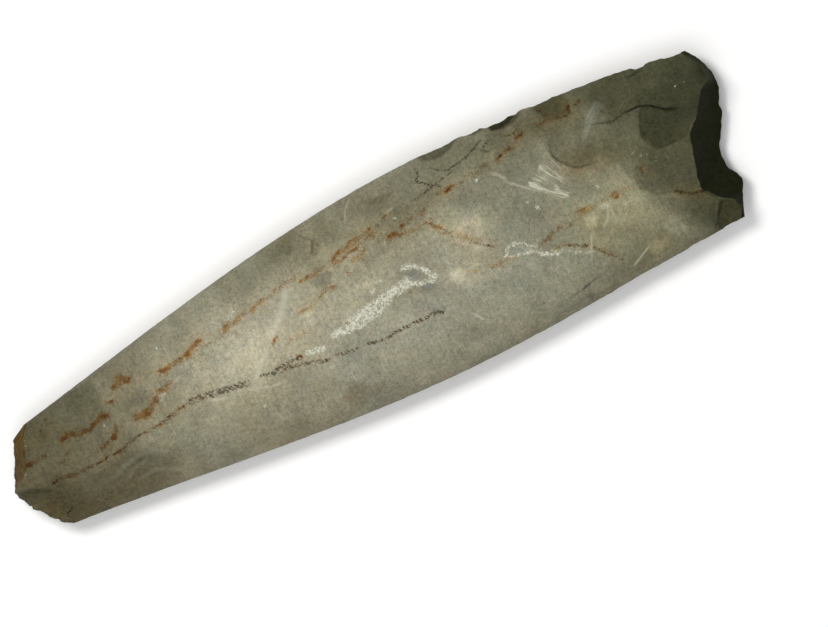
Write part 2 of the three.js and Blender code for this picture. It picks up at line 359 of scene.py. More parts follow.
RUST_SPECKS = [
    (-2.4, 10.7, 0.5, 0.8), (67.7, -7.1, 0.5, 0.8), (86.3, 26.5, 0.4, 0.9), (87.7, 26.8, 0.4, 0.9),
    (-9.65, -3.7, 0.5, 0.9),
]
DARK_RUST = paths(
    (1, 0.5, 56.8,22.3, 57.2,22.3), (0.8, 0.6, 36.2,19.5, 38,20.6), (0.8, 0.4, 40.4,-1.1, 42,-2.1),
    (0.7, 0.5, 25.8,14, 27.4,12.8), (0.45, 0.7, 60,-11.4, 64,-12.9),
    (0.62, 0.9, 64,-12.9, 67,-14.6, 68.8,-15.6), (0.6, 0.55, 71,-17, 73.4,-20.6, 77.5,-24.6),
    (0.7, 0.5, 80.6,24.8, 82,24.4), (0.75, 0.5, 102.4,-12.8, 106,-15, 110,-16.5),
    (0.7, 0.5, 18,14.1, 18.6,14), (1, 0.45, 28.4,14.4, 28.6,14.3),
)
WHITE = paths(
    (1, 1, -15.6,-4.8, -12,-4.9, -8,-4.6), (1, 2.05, -10,-4.3, -5,-3.6, 0,-2.9, 4,-2),
    (1, 1.75, 2,-2, 6,-1.3, 10,-0.9, 12.6,-0.6), (0.95, 0.8, -16,-5.4, -10,-6.2, -4,-6, 1,-5),
    (0.95, 1, -25.4,-6.4, -23,-6.9, -20.6,-7.2), (0.85, 0.85, 14.4,4.4, 17.6,2.6, 19.6,0.4, 21.2,-2.6),
    (0.85, 0.9, 13.4,-1.2, 16,-2.8, 20.4,-3.3), (0.7, 1, 13,4, 14.6,3.6),
    (0.8, 0.55, 44.2,-7, 46,-5, 49,-4.8, 51.2,-5.6, 53,-7.6),
    (0.75, 0.5, 44.2,-7, 47,-8, 50,-9, 52.6,-9.6), (0.9, 0.65, 52.4,-9.4, 55.6,-11.6, 59.6,-13.6),
    (0.6, 0.6, 53,-7.6, 54.6,-8.4), (0.48, 0.6, 58,-11.8, 62,-13.8, 67,-17, 70,-18),
    (0.8, 0.6, 3.2,4.2, 5.4,3.4), (0.65, 0.6, 1,1.8, 2.2,2.4), (0.5, 0.7, 6.8,6.4, 7.2,5.6),
    (0.9, 0.6, 60.3,3, 60.7,2), (0.55, 0.9, -43.6,15, -41,15.6), (0.6, 0.7, -72,2.2, -75,1),
    (0.4, 0.5, -119.6,9.4, -120.8,5.4), (0.6, 1, 78.6,-6.6, 80.4,-6.4), (0.5, 0.6, 79.8,2, 80.6,-0.4),
    (0.6, 0.5, 85.4,-8, 86.2,-9), (0.5, 0.6, -17,-25.4, -17.2,-26.2),
)
WHITE_SPECKS = [
    (-68.55, 16.65, 0.5, 0.8), (-45.5, -15.55, 0.6, 0.8), (-43, 3.95, 0.5, 0.7), (22.6, 11, 0.4, 0.6),
    (0.75, 11.5, 0.5, 0.6), (58.35, 5.45, 0.5, 0.8), (46.8, 18.7, 0.4, 0.8), (-123.7, -1.15, 0.5, 0.5),
    (-94.4, 1.7, 0.5, 0.5), (95.15, 4.1, 0.5, 0.6), (96.15, -3.1, 0.5, 0.6), (117.45, 17.7, 0.4, 0.5),
    (120.45, 17.55, 0.4, 0.5), (102.9, -3.75, 0.5, 0.5), (39.5, -28.2, 0.5, 0.5),
    (101.6, -0.8, 0.4, 0.45), (99.4, 1.8, 0.4, 0.5), (97.2, 2.8, 0.5, 0.5), (94.2, -4.4, 0.4, 0.4),
    (104.4, -1.6, 0.4, 0.4), (115.2, 20.6, 0.6, 0.35), (18.2, 20.2, 0.5, 0.5), (-3.6, 4.2, 0.4, 0.4),
]
CRACKS = paths(
    (0.5, 1.1, 87.5,18.5, 90,17.7, 94,16.2, 98,17),
    (0.9, 1.2, 98,17, 103.5,17, 107,15.5, 111,12.2, 114.4,10.8),
    (0.5, 1.1, 71.9,17, 72,15.5, 73,12.8, 75,10.2, 77.4,8.2, 82,7.2),
    (0.5, 1.1, 104.5,27, 106,26.8, 110,27.1), (0.4, 1.2, 101.4,12, 100.4,8, 101,5),
    (0.35, 1.2, 102.4,2.2, 107,1.8, 113.6,2), (0.25, 1.2, 95,-9.6, 98.4,-11.6, 102,-12.2),
    (0.5, 1.15, 110,-16.4, 113.5,-20.5), (0.45, 1.1, 52.2,27, 54,25.6, 55.6,25.2),
    (0.38, 1.15, -12,28.5, -10,26.5, -8.5,25, -10.5,21.5, -9,20.5),
    (0.4, 1.1, 73.5,31, 75,29.3, 75.4,27.6), (0.6, 1.2, 61.4,-27.6, 63.5,-27, 65,-26.6),
    (0.3, 1.1, 57,-28, 61.4,-27.4), (0.3, 1.1, 65,-26.6, 68,-26), (0.5, 1.6, -113.8,9, -112.8,9.6),
    (0.6, 1.3, 12,20.6, 12.8,19.4),
)
CRACK_SPECKS = [
    (-114.8, -5.9, 1.6, 0.9), (-103.8, -3.1, 1.3, 0.7), (-119.75, -10.5, 1.15, 0.6),
    (92.7, -6.8, 1.3, 0.9), (101.5, -21.7, 1.15, 0.7), (-20.3, 13.75, 1.15, 0.7), (6.1, 26.15, 1.15, 0.6),
    (22.85, -22.65, 1.15, 0.6), (14.05, -21.05, 1.15, 0.6), (-82.25, 9.1, 1.3, 0.5),
    (78.5, -23.5, 1.3, 0.4), (-117.4, -18.6, 1.3, 1), (-116.2, -17.6, 1.3, 1), (-115.2, -16.8, 1.2, 1),
    (-111.6, -17.4, 1, 0.4),
]
DOTTED = paths(
    (0.95, 1.1, 31,31.5, 31,28.5, 29.2,27.2, 31,25.8, 33,24, 36.5,22),
    (0.8, 1.1, 35.5,29, 37.6,27, 40,26, 47,26.8, 51,28.6, 55,30.2),
    (0.75, 1.1, 25,22, 30,22.6, 36,24, 42,25), (0.8, 1.1, 53,27.2, 56,28.6),
    (0.5, 1.1, 25.5,14.2, 28,12.6, 30.4,9.6, 32.4,6, 35,3.8, 38,0.8, 41,-1.6, 43.4,-3.8),
    (0.9, 1.1, 45.6,26.6, 47.4,27.4), (1, 1.1, -117.6,-18.4, -116.2,-17.6, -115,-16.8),
    (0.7, 1.1, 61,27.6, 64,26.9, 66.6,28.4),
)
SCRATCHES = paths(
    (0.12, 1.6, 88.6,5, 89.6,0, 90.6,-4), (0.55, 2.2, -44.5,-7, -40.4,-2.6, -36,1.5),
    (0.45, 3, -36,1.5, -30,7, -26,11, -22,16), (0.55, 1, -43.6,-9.8, -41,-10.8, -37.6,-11.2),
    (0.4, 1.1, -48,-8.5, -43.6,-9.8), (0.6, 0.92, -60.5,-6, -57.4,-7.2, -55,-7.4),
    (0.6, 1.1, 54.5,14.5, 58,11.4, 62,7.6, 66,5), (0.5, 1.4, 52,19, 54,17, 55.6,15),
    (0.6, 0.92, 79.6,-28, 83,-26.4, 87,-24.4), (0.55, 0.92, 72,-12.6, 70,-17, 69,-19.4),
    (0.6, 0.92, 26.8,-18.6, 28.4,-20.8, 29.6,-22.2), (0.3, 0.92, 28,-18.6, 31,-19.2),
    (0.14, 1.1, 82.5,14.5, 84.4,17, 86.6,19.8), (0.14, 1.1, 83.6,15, 86,17.8, 88.6,20.4),
    (0.12, 1.1, 86,20, 89.6,22.6, 92.4,24.6), (0.5, 0.92, 26.2,1, 27.2,-1, 28.2,-2),
    (0.4, 0.92, 28,5, 28.2,1), (0.5, 0.9, 12.4,15, 11.4,13.4), (0.4, 0.92, 9,24.4, 8.8,23.6),
    (0.3, 0.92, 8,32, 5,29, 3,25), (0.3, 0.9, -75.4,2, -70,4, -64.6,5),
    (0.12, 2.4, -99,-14.6, -94,-12.6, -89,-11.4, -84,-12.2, -80,-15),
    (0.1, 2, -96,-17, -91,-14.6, -86,-13.8), (0.1, 2, -92,-18.4, -86,-18, -80,-20.6, -77,-23),
    (0.35, 1.2, 76,-13, 79,-10.6, 80.6,-7), (0.4, 0.9, 81.2,-7, 81.2,-11), (0.35, 1.3, 16,22.4, 19,23),
    (0.22, 1.6, 26.6,12, 29,9.4, 31.4,5.4, 34.6,2.4, 38.4,-0.8, 41,-3),
)
# A fan of fine scratches spreads from one point; these are its strokes.
FAN_POINT = (78, -5.2)
FAN = paths(
    (1, 1, 61.4,10, 66,5.6, 70.2,1.9), (0.85, 0.8, 63.4,12, 66,8.8, 68.8,5.2),
    (0.8, 1.6, 66.8,12.8, 69,10, 71,6.8), (0.5, 1.2, 70.4,13.4, 72,10.6),
)

# Serrated seams, crossed by slanted ticks.
SEAMS = paths(
    (0.66, 1.1, -67,-3.6, -62,-3.9, -56,-5, -50,-5.9, -46.5,-6.5),
    (0.9, 0.45, -43,-6.3, -39,-6.8, -35,-6.5, -30,-6.3),
    (0.75, 0.6, -41,-7, -36,-7.7, -31,-8.2, -26,-9.8, -22,-11, -20,-11.6),
    (0.95, 0.45, -18.4,-10.9, -14,-11.9, -10.4,-12.4),
    (0.95, 0.45, -8.4,-12.2, -5,-12.9, -1,-13.6, 3,-13.1, 8,-13, 12,-13.1, 17,-13.2, 19.4,-14.6),
)
SEAM_TAIL = pairs([-117,-7.1, -112,-7.2, -108,-8.5, -102,-8, -92,-7.5, -88,-6.2, -80,-5.8, -72,-4.6,
                   -66,-3.5])
SEAM_RING = pairs([-29.7,-6.3, -29,-5.8, -28.1,-6, -27.8,-6.5, -28.4,-7, -29.4,-6.9, -29.7,-6.3])
TICK_SPACING, TICK_SLANT = 1.25, 0.7
RUST_BORDER = 0.3  # strength of the specks around a rust mark, as a share of its own

UNDER_RUST = paths(
    (0.9, 0.9, -104,6, -92,3, -80,4.5, -68,2, -60,3), (0.6, 0.7, -52,5, -38,8, -22,7.5, -8,11, 4,12),
    (0.85, 0.9, 10,-6, 24,-9, 33,-8, 46,-12, 58,-12.5), (0.5, 0.7, 62,4, 76,7, 88,6),
    (0.6, 0.6, -30,-17, -18,-19, -9,-18),
)
UNDER_WHITE = paths(
    (0.9, 1.4, -14,-4, -4,-5.5, 8,-5, 16,-7), (0.7, 0.7, 40,14, 47,12.5, 52,13),
)
UNDER_SEAMS = paths((0.9, 0.8, -94,-9, -70,-8, -48,-11, -24,-10))

# Broad patches on the upper face: x, y, radii, strength, sRGB and any turn in degrees. Most are
# the stone's own colour; the big pale one at -34,4 is a painted highlight, and the near-black ones
# at the break's tip, from x 119 on, are partly dark fracture and partly painted shade.
STONE_AND_PAINTED_LIGHT_PATCHES = [
    (-101, -20, 10, 4, 0.45, 0x70664c), (-66, -25.5, 16, 4, 0.35, 0x968f75), (79, 1, 6, 4, 0.3, 0x76745c),
    (102, 0.5, 5, 3, 0.5, 0x42422e), (74, -12, 12, 6, 0.25, 0x98977c), (77, 26.5, 8, 5, 0.5, 0x585840),
    # painted highlight: the big pale patch at -34,4 on this row
    (38, -5, 10, 5, 0.25, 0xbab49a), (78, 9, 6, 3, 0.25, 0x8c8264), (-34, 4, 35, 15, 0.85, 0xbab399, 3),
    (-44, -1, 12, 6, 0.35, 0xccc4a8, 10), (20, -4, 46, 20, 0.5, 0x9c9984),
    (-10, -19, 60, 12, 0.5, 0x94907a, -2), (50, -18, 34, 14, 0.5, 0x96957f),
    (80, -10, 15, 10, 0.6, 0xa09b79), (90, -20, 13, 8, 0.5, 0x847c5c, -8),
    (-95, -18, 19, 7.5, 0.5, 0x544d36), (-104, -19, 6, 3, 0.12, 0x423e2a),
    (-85, -20, 6, 3, 0.35, 0x544c38, 10), (-116, -12, 8, 4.5, 0.65, 0x423e2a, -40),
    (-122, -14, 4.5, 4, 0.6, 0x50442c, -50), (-125, -7, 4, 3, 0.4, 0x46442e, -30),
    (-112, 8, 6, 4.5, 0.35, 0x585036), (-84, 6, 13, 8, 0.5, 0x6a6550), (-83, 5, 5, 3.6, 0.3, 0x626050),
    (-106, 1, 14, 8, 0.35, 0x58533c), (-88, -12.5, 8, 3, 0.4, 0x54523e, -12),
    (-20, 27, 9, 4, 0.45, 0x605c3e, 35), (15, 27, 8, 2.4, 0.4, 0x5c5a42, -6),
    (22, 21, 14, 5, 0.4, 0x68624a), (14, 25, 50, 9, 0.4, 0x78745c, 2),
    (44, 13, 9, 2.6, 0.45, 0x6a6854, -28), (58, 18, 14, 6, 0.45, 0x6c6c58, -8),
    (62, 27, 11, 5, 0.55, 0x626048), (71, 26.5, 7, 4.5, 0.5, 0x5e5c44), (50, 30.5, 27, 4, 0.45, 0x62604a),
    (4, -16.5, 28, 9, 0.56, 0xaaa792), (2, 3, 10, 6, 0.35, 0xb6b299), (37, 7, 9, 5.5, 0.45, 0xb2ae94),
    (84, -26, 14, 4.5, 0.55, 0x64644c), (79, -20, 10, 6, 0.45, 0x70715c), (56, 2, 12, 9, 0.4, 0x767866),
    (-17, -24, 6, 2.2, 0.4, 0x665e48, 15), (84, 27, 9, 6, 0.4, 0x525038), (92, 20, 10, 7, 0.35, 0x5a5a42),
    (84, 8, 9, 5.5, 0.55, 0x646145), (91, 8, 9, 6, 0.7, 0x56563e), (100, 0.5, 8, 4.5, 0.4, 0x4c4c36),
    # partly painted shade: the near-black patches at 119,12, 121,22 and 128,20 below
    (108, -16.5, 6, 5, 0.65, 0x464834, -20), (119, 12, 9, 8, 0.6, 0x303220),
    (86, 17.8, 4.6, 1.7, 0.36, 0x8a8e88, 50), (90.5, 22, 5, 1.5, 0.32, 0x80847c, 38),
    (84, -8, 5, 3, 0.45, 0xaca686), (89, -13, 5, 3, 0.6, 0xa09a78, -20),
    (83, -12.5, 3, 2.4, 0.4, 0xa4a286), (80, 2, 1.6, 3, 0.4, 0xa6a480), (121, 22, 6, 6, 0.4, 0x383926),
    (128, 20, 4, 8, 0.85, 0x2b2c1a), (42, 6, 4, 4, 0.35, 0xaaa688),
    (97, -26.4, 5, 1.6, 0.35, 0x88866c, 4), (96, -20, 3, 2.4, 0.4, 0x928e76),
    (-17, 20.5, 6, 3, 0.4, 0x746f58), (15.6, 0.6, 2.4, 1.8, 0.7, 0x767c76, -30),
    (18, -5.2, 2.4, 1.5, 0.6, 0x787e78, -40), (48, -7, 3, 1.4, 0.6, 0x929a8e, -10),
    (66, -18, 8, 2.6, 0.3, 0x8e9686, -38), (-66, 6, 8, 4, 0.35, 0x96988a, 10),
    (75, 1, 6, 4, 0.3, 0x7a765e), (96, -12, 4.5, 3.5, 0.4, 0x60614a), (95, 1, 5, 4, 0.3, 0x505442),
    (28, -4, 9, 7, 0.3, 0xbab69e), (-99, -5.5, 8, 4, 0.4, 0x7c725a), (-74, -25, 12, 4, 0.4, 0x8e8870),
    (-54, -27, 9, 4, 0.4, 0x96927a), (6, -30.5, 30, 3.5, 0.4, 0xa29e88), (-37, 17.5, 8, 4, 0.4, 0xb2aa90),
    (-4, 13.5, 12, 4, 0.4, 0xaaa48a), (-4, 25.5, 6, 4, 0.4, 0x68654e), (45, 25.5, 8, 4, 0.4, 0x6a6952),
    (79, 7, 7, 4, 0.55, 0x8c7c5c, -10), (46, 11, 7, 4, 0.4, 0x7a7a64),
]

# Patches with a definite border: strength, softness and sRGB, then either each point's x,y or,
# for a round one, only its middle and two half sizes.
AREAS = [
    (0.45, 0.8, 0xbeb8a2, 38.6, -0.9, 2.2, 0.9), (0.35, 0.8, 0xbab49a, 33.8, -5.6, 1.8, 0.9),
    (0.35, 1, 0xa6a88a, 97, -22.6, 3, 3.4), (0.3, 0.9, 0xa09274, 91, -25.6, 3.6, 1.8),
    (0.35, 0.8, 0xb8b89e, 80.6, -6.8, 3, 1), (0.38, 1.6, 0xbab296, 37.6, 6, 4.6, 3.8),
    (0.35, 1.4, 0x605c42, -17, 27, 2.6, 2.8), (0.3, 1.2, 0x625e44, -4.4, 29.4, 2.4, 1.6),
    (0.45, 0.8, 0x706752, -22.6,-24.6, -20,-22.4, -17.4,-19.6, -15.4,-22.4, -13.4,-24.4, -8.4,-25.4,
        -9,-28, -14,-28, -18,-30, -24,-31, -20.6,-27),
    (0.2, 1, 0x706e5a, -13,-21, -10,-17, -6,-17.4, -9,-21.4), (0.62, 0.7, 0xccc5ac, 28, -5.5, 2.7, 2.9),
    (0.5, 1.2, 0xb2ac92, 33.5, -5, 2.6, 1.6), (0.6, 0.6, 0xbab196, 37, 5.4, 4.8, 4),
    (0.3, 0.8, 0x989682, 37.6, 4.8, 3, 2.5), (0.6, 0.5, 0xbeb492, 74, -9, 1.9, 1.9),
    (0.4, 0.6, 0xb2ac8c, 80, -6.8, 2.2, 1), (0.55, 0.5, 0x948c70, 89, -25.6, 3.4, 2),
    (0.3, 0.7, 0x9a9882, 97.6, -24.6, 2.4, 1.4), (0.35, 0.6, 0xcec8ac, -46.4, 2.6, 1.6, 1.6),
    (0.3, 0.5, 0xb0ac96, -60.6, 18.6, 1.4, 1.2),
    (0.5, 0.5, 0x56543c, -103,13, -101,8, -97,5.4, -92,6, -91.4,11, -92,16.6, -97,16, -102,15),
    (0.8, 0.25, 0x85836f, -15.2,13.8, -13,10, -8.8,10, -7.2,12.4, -7.6,14.4),
    (0.45, 0.5, 0x4c462e, -119.6,-21.8, -117.2,-18.8, -114.4,-16.2, -110,-16.8, -105.6,-20, -103.4,-23.4),
    (0.35, 0.6, 0x625f48, 10.4,28.8, 14,26.6, 18,26.2, 21.4,27.4, 17,28.6, 13,29.4),
    (0.5, 0.5, 0x685e46, -10.6,22, -9,20, -7,22.6, -7.6,25.4, -10,24.6),
    (0.5, 1.2, 0x58573f, 72,20, 71.9,15.5, 73.2,12.5, 75.4,10, 78,8.2, 83,7.6, 90,9, 92,15, 88,18, 85,24,
        78,25, 74,24),
    (0.75, 0.5, 0x46442b, 73.6,31.6, 75.4,29.2, 75.8,26.4, 79,25.2, 83.4,24.6, 84.4,28, 83.4,32.4, 74,33),
    (0.4, 0.5, 0x42432e, 97,16.9, 99,17.2, 103.5,17, 107,15.5, 111,12.3, 117,10.6, 121,13, 116,19, 108,21,
        100,20),
    (0.7, 0.45, 0x3a3b28, 103,16.2, 101.2,12, 100.3,8, 102.2,2.6, 108,1.8, 114.2,2, 119,6.4, 123,12,
        117,10.6, 111,12.3, 107,15.5),
    (0.6, 0.8, 0x50503b, 91.6,-3, 95,1.6, 103,2, 114,1.8, 112,-6, 110,-12, 110,-16.4, 106,-15.2,
        102,-12.4, 96,-9.8, 92,-7.4),
    (0.7, 0.4, 0x383621, 108.6,-31, 109.6,-28, 111.6,-25, 113.9,-21.2, 118,-23, 120,-26, 119,-30),
    (0.5, 0.4, 0x424230, 33,34.6, 35,32, 38,30.8, 41,30.9, 46,32.9, 49,35),
    (0.6, 0.4, 0x343426, 49,34.4, 52,32.5, 56,32.6, 57.5,34),
    (0.85, 0.45, 0x181810, 57,34, 58.4,31.4, 62,30.1, 65,30.5, 67,31.6, 66,34),
]
# The colour darkens towards the butt and, along a slanting line, towards the break: partly the
# stone's darker ends, partly painted shade where the light falls off there.
BUTT_TONE_AND_PAINTED_SHADE = {"start": -60, "length": 66, "strength": 0.92, "srgb": 0x565039}
BREAK_TONE_AND_PAINTED_SHADE = {"start": 83, "slant": 0.32, "length": 23, "strength": 0.88, "srgb": 0x484932}
BASE_SRGB = 0x8b8872
UNDER_SRGB = 0x827f6a
LOWER_BAND_SRGB = 0x706c54


def close_to(x, y, path, margin):
    """Which points are within a margin of the box around a path."""
    (low_x, low_y), (high_x, high_y) = np.min(path, axis=0) - margin, np.max(path, axis=0) + margin
    return (x > low_x) & (x < high_x) & (y > low_y) & (y < high_y)


def distance_field(x, y, marks, wander=0.0):
    """The strongest mark at each point: its strength at the middle, half of it at its border."""
    shift_x, shift_y = (wander * fractal(x, y, 2.2, 2, seed) for seed in (91, 97))
    field = np.zeros_like(x)
    for strength, half_width, path in marks:
        near = close_to(x, y, path, 1.5 * half_width + 2 * wander)
        away = near_path((x + shift_x)[near], (y + shift_y)[near], path)[0]
        value = strength * np.clip(1.5 - away / half_width, 0, 1)
        field[near] = np.maximum(field[near], value)
    return field


def specks(rows):
    """Small round marks, given as x, y, half width and strength."""
    return [(strength, half, [(x - 0.1, y), (x + 0.1, y)]) for x, y, half, strength in rows]


def rust_field(x, y, marks):
    """Rust marks of an uneven width, with a wide faint border where only specks will show."""
    uneven = 0.85 + 0.4 * fractal(x, y, 3.0, 2, 181)
    core = distance_field(x, y, marks, 0.45) * uneven
    border = [(RUST_BORDER * strength, half + 0.8, path) for strength, half, path in marks]
    return np.maximum(core, distance_field(x, y, border, 0.8))


def line_fields(x, y, marks):
    """How near the middle of a line each point is, 1 to 0, and the strength of that line."""
    ridge, strengths = np.zeros_like(x), np.zeros_like(x)
    for strength, half_width, path in marks:
        near = close_to(x, y, path, half_width)
        away, _, along, length = near_path(x[near], y[near], path)
        taper = smooth(0.35 + np.minimum(along, length - along) / (0.25 * length + 0.4))
        value = np.clip(1 - away / half_width, 0, 1)
        nearer = value > ridge[near]
        ridge[near] = np.where(nearer, value, ridge[near])
        strengths[near] = np.where(nearer, strength * taper, strengths[near])
    return ridge, strengths


def disc(x, y, half_long, half_wide):
    turns = (2 * math.pi * i / 16 for i in range(16))
    return [(x + half_long * math.cos(turn), y + half_wide * math.sin(turn)) for turn in turns]


def area_share(x, y, outline, soft):
    """1 well inside a closed outline and 0 well outside it."""
    closed = outline + outline[:1]
    away = near_path(x, y, closed)[0]
    inside = np.zeros(x.shape, bool)
    for (ax, ay), (bx, by) in zip(closed[:-1], closed[1:]):
        if ay != by:
            inside ^= ((ay > y) != (by > y)) & (x < ax + (bx - ax) * (y - ay) / (by - ay))
    return smooth(0.5 + np.where(inside, away, -away) / (2 * soft))


def seam_fields(x, y, seams):
    """How strong a seam is at each point, and the phase of the slanted ticks that cross it."""
    field, phase = np.zeros_like(x), np.zeros_like(x)
    closest = np.full_like(x, 6.0)
    for strength, half_width, path in seams:
        away, side, along, length = near_path(x, y, path)
        ends = smooth(np.minimum(along, length - along) / 2 + 0.3)
        field = np.maximum(field, strength * ends * np.clip(1.5 - away / half_width, 0, 1))
        phase = np.where(away < closest, along + TICK_SLANT * side * away, phase)
        closest = np.minimum(closest, away)
    return field, phase / TICK_SPACING * 2 * math.pi


def linear(srgb):
    """The linear light of a colour such as 0x8b8872."""
    value = np.array([srgb >> 16, srgb >> 8 & 255, srgb & 255]) / 255
    return np.where(value <= 0.04045, value / 12.92, ((value + 0.055) / 1.055) ** 2.4)


def upper_tint(x, y, scar):
    """The upper face's colour in linear light: the polished stone's own colour, with painted shade
    towards its ends and a painted highlight.
    """
    tint = np.ones(x.shape + (3,)) * linear(BASE_SRGB)

    def lay(share, srgb):
        tint[:] = lerp(tint, linear(srgb), share[..., None])

    warp_x, warp_y = (2.4 * fractal(x, y, 11, 3, seed) for seed in (101, 111))
    lay(0.3 * smooth((-24 - y + 0.03 * np.abs(x)) / 10), LOWER_BAND_SRGB)
    # painted shade, with the stone's own darkening: darker towards the butt and the break
    to_butt = (BUTT_TONE_AND_PAINTED_SHADE["start"] - x + 2 * warp_x) / BUTT_TONE_AND_PAINTED_SHADE["length"]
    to_break = (x + 2 * warp_x + BREAK_TONE_AND_PAINTED_SHADE["slant"] * y - BREAK_TONE_AND_PAINTED_SHADE["start"]) / BREAK_TONE_AND_PAINTED_SHADE["length"]
    for shade, toward in ((BUTT_TONE_AND_PAINTED_SHADE, to_butt), (BREAK_TONE_AND_PAINTED_SHADE, to_break)):
        lay(shade["strength"] * smooth(toward), shade["srgb"])
    # patches of stone colour, with a painted highlight and painted shade among them
    for patch_x, patch_y, long, wide, strength, srgb, *turn in STONE_AND_PAINTED_LIGHT_PATCHES:
        soft = min(1.0, min(long, wide) / 6)
        dx, dy = x + soft * warp_x - patch_x, y + soft * warp_y - patch_y
        lay(strength * np.exp(-oval(dx, dy, long, wide, *turn) ** 1.25 * 0.9), srgb)
    edge_x, edge_y = (0.5 * fractal(x, y, 4, 3, seed) for seed in (161, 171))
    for strength, soft, srgb, *numbers in AREAS:
        outline = disc(*numbers) if len(numbers) == 4 else pairs(numbers)
        lay(strength * area_share(x + edge_x, y + edge_y, outline, soft), srgb)
    halo = distance_field(x, y, [(strength, 3.2 + half, path) for strength, half, path in RUST], 1.2)
    lay(0.1 * smooth(halo) * smooth((x + 130) / 60), 0xa49060)
    lay(0.2 * np.clip(scar, 0, 1), 0x3a3928)
    lay(0.8 * np.clip(scar - 1, 0, 1), 0x0a0a06)
    return mottled(tint, x, y, 121)


def mottled(tint, x, y, seed):
    """Cloudy changes of brightness, and of hue from greenish to brownish."""
    cloud = 0.09 * fractal(x, y, 10, 4, seed) + 0.1 * fractal(x, y, 4.2, 2, seed + 5)
    smears = 0.05 * fractal(x * 0.3 + y * 0.1, y, 5, 3, seed + 20)
    bright = (1 + cloud + smears)[..., None]
    hue = fractal(x, y, 13, 4, seed + 10)[..., None]
    return tint * bright * (1 + hue * np.array([0.025, 0.0, -0.04]))


def under_tint(x, y, scar):
    tint = np.ones(x.shape + (3,)) * linear(UNDER_SRGB)
    pale = smooth(0.5 + 0.8 * fractal(x, y, 34, 3, 141))
    tint = lerp(tint, linear(0x9e9880), 0.45 * pale[..., None])
    ends = smooth((np.abs(x) - 70) / 60)
    tint = lerp(tint, linear(0x585640), 0.6 * ends[..., None])
    tint = lerp(tint, linear(0x403f2e), 0.7 * np.clip(scar, 0, 1)[..., None])
    return mottled(tint, x, y, 151)


def paint_upper(x, y, scar, fracture):
    """The upper face's fields, each by column and row."""
    polished = 1 - fracture
    tint = upper_tint(x, y, scar)
    # Painted shade, with the fracture's own dark colour: the break's facet is near black where it faces
    # away from the light, its upper corner a little less dark.
    broken = fracture * (x > 0)
    rusty_butt = fracture * (x < 0) * smooth((y + 4.2) / 1.2)
    corner = broken * smooth((y - 12) / 4)
    for share, srgb in [(broken, 0x212411), (corner, 0x323420)]:
        tint = lerp(tint, linear(srgb), share[..., None])
    seam, phase = seam_fields(x, y, SEAMS)
    rust = RUST + specks(RUST_SPECKS) + [(0.5, 0.5, SEAM_RING), (0.5, 0.8, SEAM_TAIL)]
    dark_rust = DARK_RUST + [(0.7, 0.55, SEAM_TAIL), (0.85, 0.4, SEAM_RING)]
    fields = {
        "tint": tint / EXPOSURE,
        "rust": rust_field(x, y, rust) * polished,
        "dark_rust": distance_field(x, y, dark_rust, 0.2) * polished,
        "white": distance_field(x, y, WHITE + specks(WHITE_SPECKS), 0.35) * polished,
        "seam": seam * polished,
        "seam_phase": phase,
        "fan": distance_field(x, y, FAN, 0.2) * polished,
        "rough": np.clip(np.maximum(scar, fracture), 0, 1),
        "rust_skin": rusty_butt,
    }
    lines = {"crack": CRACKS + specks(CRACK_SPECKS), "dotted": DOTTED, "scratch": SCRATCHES}
    for name, marks in lines.items():
        share = polished if name == "scratch" else 1
        ridge, strength = line_fields(x, y, marks)
        fields |= {name: ridge, name + "_strength": strength * share}
    return fields


def paint_under(x, y, scar, fracture):
    """The under face's fields. Those that it has none of are left out."""
    polished = 1 - fracture
    tint = under_tint(x, y, scar)
    tint = lerp(tint, linear(0x282a1c), (fracture * (x > 0))[..., None])
    seam, phase = seam_fields(x, y, UNDER_SEAMS)
    return {
        "tint": tint / EXPOSURE,
        "rust": distance_field(x, y, UNDER_RUST, 0.5) * polished,
        "white": distance_field(x, y, UNDER_WHITE, 0.5) * polished,
        "seam": seam * polished,
        "seam_phase": phase,
        "rough": np.clip(np.maximum(scar, fracture), 0, 1),
    }


def stone_faces():
    """Faces of the closed surface, and which under-grid places have vertices of their own."""
    upper = np.arange((COLUMNS + 1) * (ROWS + 1)).reshape(COLUMNS + 1, ROWS + 1)
    under = upper[:, ::UNDER_EVERY].copy()
    own = np.zeros(under.shape, bool)
    own[1:-1, 1:-1] = True
    under[own] = upper.size + np.arange(own.sum())
    quads = np.stack([upper[:-1, :-1], upper[1:, :-1], upper[1:, 1:], upper[:-1, 1:]], -1)
    below = under[1:-1]
    under_quads = np.stack([below[:-1, :-1], below[:-1, 1:], below[1:, 1:], below[1:, :-1]], -1)
    faces = quads.reshape(-1, 4).tolist() + under_quads.reshape(-1, 4).tolist()
    for rim, inner, first in ((upper[0], under[1], True), (upper[-1], under[-2], False)):
        for row in range(ROWS // UNDER_EVERY):
            fine = rim[row * UNDER_EVERY:(row + 1) * UNDER_EVERY + 1].tolist()
            near, far = int(inner[row]), int(inner[row + 1])
            fan = [[near, fine[0], fine[1]], [near, fine[1], fine[2], far], [far, fine[2], fine[3]]]
            faces += fan if first else [face[::-1] for face in fan]
    return faces, own


